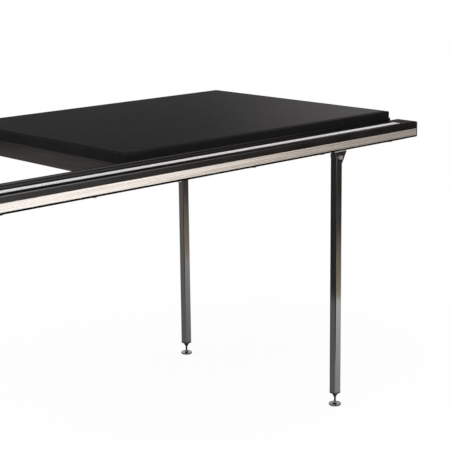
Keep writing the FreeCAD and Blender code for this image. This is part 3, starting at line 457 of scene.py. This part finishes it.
# How bolts, nuts and washers are finished; a radius here is a share of the hexagon's flats, and what isn't
# a radius or a share is in mm.
cut = {
    "face": 0.475,  # radius of a head's or nut's turned face
    "underFace": 0.46,  # radius of the thin round face under a head
    "underHigh": 0.25,
    "slope": 0.58,  # rise of the cone on the corners for each mm outwards: 30 degrees
    "shankEnd": 0.6,
    "nutLead": 0.4,
    "sleeve": ((1, 0.44), (0.3, 0.44), (0.1, 0.41), (0, 0.36)),  # share of the collar still to go, radius
    "washerEdge": 0.3,  # share of a washer's thickness that is rounded over at its far side
    "washerBroken": 0.3,  # share of that rounding which its near side has
}


def thread(start, end, size, perTurn=6):
    # rings of a threaded stretch, close enough together to draw its crests and roots
    count = max(2, round(abs(end - start) / size["pitch"] * perTurn))
    heights = np.linspace(start, end, count)
    runOut = np.clip(np.minimum(heights - start, end - heights) / size["pitch"], 0, 1)
    return [(height, size["radius"], 0, size["depth"] * share) for height, share in zip(heights, runOut)]


def shank(size, length, plain):
    # rings of a bolt's shank from its seat: a plain stretch, the thread and a chamfered end
    chamfer = cut["shankEnd"]
    return ([(0, size["radius"], 0, 0), (plain, size["radius"], 0, 0)]
            + thread(plain, length - chamfer, size) + [(length, size["radius"] - chamfer, 0, 0)])


def hexagonSide(low, high, flats):
    # rings of a hexagon's side, its corners turned off by a cone at the low end
    face, corner = cut["face"] * flats, flats / math.sqrt(3)
    rise = (corner - face) * cut["slope"]
    return [(low + rise * share, face + (corner - face) * share, flats, 0)
            for share in (0, 0.25, 0.5, 0.75, 1)] + [(high, corner, flats, 0)]


def hexBolt(at, facing, size, length, plain):
    # a hexagon-headed bolt: the head behind its seat, on a thin round face, and the shank ahead of it
    head, flats, under = size["head"], size["flats"], cut["underHigh"]
    rings = ([(-head, cut["face"] * flats, 0, 0)] + hexagonSide(-head, -under, flats)
             + [(-under, cut["underFace"] * flats, 0, 0), (0, cut["underFace"] * flats, 0, 0)]
             + shank(size, length, plain))
    return turned(rings, at, facing, pitch=size["pitch"])


def lockNut(at, facing, size):
    # a hexagon nut whose far end is a round sleeve, bent in over its nylon ring
    flats, bore, high = size["flats"], size["bore"], size["nut"]
    collar, lead = size["collar"], cut["nutLead"]
    sleeve = [(high - left * collar, share * flats, 0, 0) for left, share in cut["sleeve"]]
    rings = ([(lead, bore, 0, 0), (0, bore + lead, 0, 0)] + hexagonSide(0, high - collar, flats)
             + sleeve + [(high, bore, 0, 0)])
    return turned(rings, at, facing, bored=True)


def washer(at, facing, radius, bore, thick):
    # a punched washer: its edge is rounded over by the far side and barely broken at the near side
    edge = cut["washerEdge"] * thick
    broken = cut["washerBroken"] * edge
    rings = [(0, bore, 0, 0), (0, radius - broken, 0, 0), (broken, radius, 0, 0),
             (thick - edge, radius, 0, 0), (thick - broken, radius - broken, 0, 0),
             (thick, radius - edge, 0, 0), (thick, bore, 0, 0)]
    return turned(rings, at, facing, bored=True)


def domedScrew(at, facing, size, length, plain):
    # a button head with a hexagonal socket: at the share s of the head's radius, the dome's height is
    # the head's height times the root of (1 - s squared)
    shares = np.linspace(size["flatTop"], 1, 9)
    dome = [(-size["head"] * math.sqrt(1 - s * s), size["dome"] * s, 0, 0) for s in shares]
    top, flats = dome[0][0], size["socket"]
    socket = [(z, flats / math.sqrt(3), flats, 0) for z in (top + size["socketDepth"], top)]
    return turned(socket + dome + shank(size, length, plain), at, facing, pitch=size["pitch"])


creaseDegrees = 32  # edges that turn by more than this stay sharp


def makePiece(name, surfaces, material, body, replaced=()):
    # one object from several surfaces: each is (points, faces)
    points, faces = [], []
    start = 0
    for itsPoints, itsFaces in surfaces:
        points.append(itsPoints)
        faces += [[corner + start for corner in face] for face in itsFaces]
        start += len(itsPoints)
    piece = newObject(name, np.vstack(points), faces, material)
    piece.data.shade_smooth()
    piece.data.set_sharp_from_angle(angle=math.radians(creaseDegrees))
    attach(piece, body)
    if replaced:
        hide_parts(*replaced)


def corners(node):
    # a node's lowest and highest corners as arrays
    low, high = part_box(node)
    return np.array(low), np.array(high)


# Fasteners in mm. flats and head: width and height of the head; radius: of the shank; pitch and depth:
# of the thread; plain or threaded: that much of the shank.
metricSix = {"radius": 3, "pitch": 1.0, "depth": 0.55}
pivot = {**metricSix, "flats": 10, "head": 4, "threaded": 14, "nut": 6, "collar": 1.8, "bore": 3.05,
         "washerRadius": 6, "washer": 1.6,
         "thinWasher": 0.44, "thinPlace": 0.5}  # the thin one starts this far in front of the leg


def makePivots(zinc):
    for end in ("front", "rear"):
        low, high = corners(f"{end}_pivot_bolt")
        x, z = (low[0] + high[0]) / 2, (low[2] + high[2]) / 2
        seat = low[1] + pivot["head"] * mm
        length = (high[1] - seat) / mm
        bolt = hexBolt((x, seat, z), backward, pivot, length, length - pivot["threaded"])
        makePiece(f"{end}PivotBolt", [bolt], zinc, "table", [f"{end}_pivot_bolt"])
        nutSeat = corners(f"{end}_pivot_nut")[0][1]
        nut = lockNut((x, nutSeat, z), backward, pivot)
        makePiece(f"{end}PivotNut", [nut], zinc, "table", [f"{end}_pivot_nut"])
        legFront = corners(f"{end}_leg_tube")[0][1]
        thick, thin = pivot["washer"], pivot["thinWasher"]
        places = ((seat + thick * mm, forward, thick), (nutSeat - thick * mm, backward, thick),
                  (legFront - pivot["thinPlace"] * mm, backward, thin))
        rings = [washer((x, y, z), facing, pivot["washerRadius"], pivot["bore"], thickness)
                 for y, facing, thickness in places]
        makePiece(f"{end}PivotWashers", rings, zinc, "table", [f"{end}_pivot_washers"])


# five evenly spaced up to the gap beside the leg's bracket, and one past it
tubeBolt = {"flats": 13, "head": 5.3, "radius": 4, "pitch": 1.25, "depth": 0.7, "plain": 2,
            "evenly": 5, "bracketGap": 40}


def makeTubeBolts(zinc):
    low, high = corners("tube_bolts")
    half = tubeBolt["flats"] / math.sqrt(3) * mm
    lastLeft = corners("front_leg_bracket")[0][0] - tubeBolt["bracketGap"] * mm
    across = np.append(np.linspace(low[0] + half, lastLeft, tubeBolt["evenly"]), high[0] - half)
    y, seat = (low[1] + high[1]) / 2, low[2] + tubeBolt["head"] * mm
    length = (high[2] - seat) / mm
    bolts = [hexBolt((x, y, seat), upward, tubeBolt, length, tubeBolt["plain"]) for x in across]
    makePiece("tubeBolts", bolts, zinc, "table", ["tube_bolts"])


button = {**metricSix, "dome": 5.25, "head": 2.4, "flatTop": 0.42,  # share of the dome's radius
          "socket": 3.2, "socketDepth": 1.4, "plain": 5}


def makeBracketScrews(zinc):
    for node, name in (("front_bracket_bolts", "frontBracketBolts"),
                       ("rear_bracket_screws", "rearBracketScrews")):
        low, high = corners(node)
        y, seat = (low[1] + high[1]) / 2, low[2] + button["head"] * mm
        length = (high[2] - seat) / mm
        half = button["dome"] * mm
        screws = [domedScrew((x, y, seat), upward, button, length, button["plain"])
                  for x in (low[0] + half, high[0] - half)]
        makePiece(name, screws, zinc, "table", [node])


rearScrew = {"flats": 8, "head": 3.5, "radius": 2.5, "pitch": 1.6, "depth": 0.5, "plain": 7,
             "washer": 1.5, "washerRadius": 6, "count": 5}


def makeRearScrews(zinc):
    low, high = corners("rear_rail_screws")
    half = rearScrew["washerRadius"] * mm
    seat = high[1] - (rearScrew["head"] + rearScrew["washer"]) * mm
    headSeat = seat + rearScrew["washer"] * mm
    z = (low[2] + high[2]) / 2
    pieces = []
    for x in np.linspace(low[0] + half, high[0] - half, rearScrew["count"]):
        pieces.append(washer((x, seat, z), backward, rearScrew["washerRadius"], rearScrew["radius"],
                             rearScrew["washer"]))
        pieces.append(hexBolt((x, headSeat, z), forward, rearScrew, (headSeat - low[1]) / mm,
                              rearScrew["plain"]))
    makePiece("rearRailScrews", pieces, zinc, "table", ["rear_rail_screws"])


stem = {**metricSix, "perTurn": 8, "chamfer": 0.8,
        "flats": 5, "flatsLow": 13.5, "flatsHigh": 18.5}  # two flats for a spanner, heights from the floor


def makeFootStem(end, x, y, steel):
    low, high = corners(f"{end}_foot_stem")
    length, chamfer = (high[2] - low[2]) / mm, stem["chamfer"]
    rings = ([(0, stem["radius"] - chamfer, 0, 0)]
             + thread(chamfer, length - chamfer, stem, stem["perTurn"])
             + [(length, stem["radius"] - chamfer, 0, 0)])
    points, faces = turned(rings, (x, y, low[2]), upward, steps=32, pitch=stem["pitch"])
    atFlats = (points[:, 2] > stem["flatsLow"] * mm) & (points[:, 2] < stem["flatsHigh"] * mm)
    reach = stem["flats"] / 2 * mm
    points[atFlats, 0] = np.clip(points[atFlats, 0], x - reach, x + reach)
    makePiece(f"{end}FootStem", [(points, faces)], steel, f"{end}_stem",
              [f"{end}_foot_stem"])


# The rim's outline runs from the edge over the top into the dish: rise from the top, distance inwards.
pad = {"edge": 18.5, "low": 1.5, "top": 5.5, "chamfer": 0.6, "hub": 4, "hubFoot": 9, "hubGap": 0.2,
       "hubTop": 11.5, "hubChamfer": (0.4, 0.3), "bore": 3.06, "seat": 3,
       "rim": ((-1.4, 0), (-0.7, 0.25), (-0.2, 0.8), (0, 1.6), (0, 1.7), (0, 2.5), (0, 2.6),
               (-0.5, 3.6), (-0.5, 3.8))}


def makeFootPad(end, x, y, nylon):
    # a dished plate and its hub, which narrows in a hollow curve: what its radius has left to lose is the
    # cube of the share of its height that is left
    edge, dish = pad["edge"], pad["top"] + pad["rim"][-1][0]
    outline = [(pad["low"], edge - pad["chamfer"]), (pad["low"] + pad["chamfer"], edge)]
    outline += [(pad["top"] + rise, edge - inward) for rise, inward in pad["rim"]]
    outline += [(dish, pad["hubFoot"] + pad["hubGap"])]
    way = np.linspace(0, 1, 9)
    height = dish + (pad["hubTop"] - pad["hubChamfer"][0] - dish) * way
    radius = pad["hub"] + (pad["hubFoot"] - pad["hub"]) * (1 - way) ** 3
    outline += list(zip(height, radius))
    outline += [(pad["hubTop"], pad["hub"] - pad["hubChamfer"][1]), (pad["hubTop"], pad["bore"]),
                (pad["seat"], pad["bore"])]
    rings = [(z, r, 0, 0) for z, r in outline]
    makePiece(f"{end}FootPad", [turned(rings, (x, y, 0), upward, steps=72)], nylon, f"{end}_foot",
              [f"{end}_foot_pad"])


sole = {"edge": 17.5, "high": 1.5, "round": 0.4, "grooves": (5, 8, 11, 14), "depth": 0.5,
        "mouth": 0.6, "floor": 0.3}  # half widths of a groove


def makeFootSole(end, x, y, rubber):
    # a flat disc with ring grooves that narrow towards their floor
    rings = []
    for r in sole["grooves"]:
        rings += [(0, r - sole["mouth"], 0, 0), (sole["depth"], r - sole["floor"], 0, 0),
                  (sole["depth"], r + sole["floor"], 0, 0), (0, r + sole["mouth"], 0, 0)]
    rings += [(0, sole["edge"] - sole["round"], 0, 0), (sole["round"], sole["edge"], 0, 0),
              (sole["high"], sole["edge"], 0, 0)]
    makePiece(f"{end}FootSole", [turned(rings, (x, y, 0), upward, steps=72)], rubber, f"{end}_foot",
              [f"{end}_foot_sole"])


def makeFeet(steel, nylon, rubber):
    for end in ("front", "rear"):
        low, high = corners(f"{end}_foot_stem")
        x, y = ((low + high) / 2)[:2]
        makeFootStem(end, x, y, steel)
        makeFootPad(end, x, y, nylon)
        makeFootSole(end, x, y, rubber)


marks = {
    "step": 1.0,  # mm, as all sizes here
    "first": 5.0,
    "width": 0.2,
    "lengths": (2.4, 4.2, 6.6),  # of the ticks at 1, 5 and 10 mm
    "edge": 0.4,  # bare tape in front of the ticks
    "ink": 0.05,
    "sunk": 0.25,  # share of a figure's thickness that lies in the tape
    "figureSize": 6.4,
    "figureLow": 9.2,
    "figureGap": 0.5,
}


def boxes(low, high):
    # points and faces of many boxes at once: low and high are rows of corners
    pick = np.array([(0, 0, 0), (1, 0, 0), (1, 1, 0), (0, 1, 0), (0, 0, 1), (1, 0, 1), (1, 1, 1), (0, 1, 1)])
    points = low[:, None] + (high - low)[:, None] * pick
    sides = np.array([(0, 3, 2, 1), (4, 5, 6, 7), (0, 1, 5, 4), (1, 2, 6, 5), (2, 3, 7, 6), (3, 0, 4, 7)])
    faces = (np.arange(len(low)) * 8)[:, None, None] + sides
    return points.reshape(-1, 3), faces.reshape(-1, 4).tolist()


def figures():
    # the ten figures as thin solid shapes: points, faces and width
    shapes = {}
    for figure in "0123456789":
        curve = bpy.data.curves.new("figure", "FONT")
        curve.body, curve.size, curve.resolution_u = figure, marks["figureSize"] * mm, 2
        curve.extrude = marks["ink"] * mm / 2
        holder = bpy.data.objects.new("figure", curve)
        mesh = bpy.data.meshes.new_from_object(holder)
        points = np.empty(len(mesh.vertices) * 3)
        mesh.vertices.foreach_get("co", points)
        points = points.reshape(-1, 3)
        faces = [list(face.vertices) for face in mesh.polygons]
        left, right = points[:, 0].min(), points[:, 0].max()
        shapes[figure] = (points - (left, 0, 0), faces, right - left)
        bpy.data.objects.remove(holder)
        bpy.data.curves.remove(curve)
        bpy.data.meshes.remove(mesh)
    return shapes


def makeMarks(ink):
    # a plain scale: a tick each millimetre from the tape's front edge, and each centimetre its number
    low, high = corners("rule_tape")
    count = int(((high[0] - low[0]) / mm - 2 * marks["first"]) / marks["step"]) + 1
    number = np.arange(count)
    x = low[0] + (marks["first"] + number * marks["step"]) * mm
    kind = np.where(number % 10 == 0, 2, np.where(number % 5 == 0, 1, 0))
    reach = np.array(marks["lengths"])[kind] * mm
    half, thick, near = marks["width"] / 2 * mm, marks["ink"] * mm, low[1] + marks["edge"] * mm
    start = np.stack([x - half, np.full(count, near), np.full(count, high[2] - thick)], -1)
    end = np.stack([x + half, near + reach, np.full(count, high[2] + thick)], -1)
    surfaces = [boxes(start, end)]
    shapes, gap = figures(), marks["figureGap"] * mm
    y, z = low[1] + marks["figureLow"] * mm, high[2] + (0.5 - marks["sunk"]) * thick
    for mark in range(0, count, 10):
        text = str(mark // 10)
        width = sum(shapes[figure][2] for figure in text) + gap * (len(text) - 1)
        pen = x[mark] - width / 2
        for figure in text:
            points, faces, own = shapes[figure]
            surfaces.append((points + (pen, y, z), faces))
            pen += own + gap
    makePiece("ruleMarks", surfaces, ink, "table")


makeCamera()
makeFloor()
makeLight()
for cardName, card in paintedReflectionCards.items():
    makePaintedReflectionCard(cardName, **card)
print("stage made")
finishes = {name: makeGrained(name, **settings) for name, settings in grained.items()}
makeBrushedAluminium()
dress(tape["slot"], makeEnamel("tapeEnamel", tape["colour"]))
makeBattens()
makeParticleBoard()
print("finishes made")
makePivots(finishes["zincPlate"])
makeTubeBolts(finishes["zincPlate"])
makeBracketScrews(finishes["zincPlate"])
makeRearScrews(finishes["zincPlate"])
print("fasteners made")
makeFeet(finishes["blackOxideStems"], finishes["glossNylon"], finishes["soleRubber"])
print("feet made")
makeMarks(makeEnamel("printedInk", tape["ink"]))
print("rule marks made")

bpy.context.scene.view_settings.view_transform = "Standard"
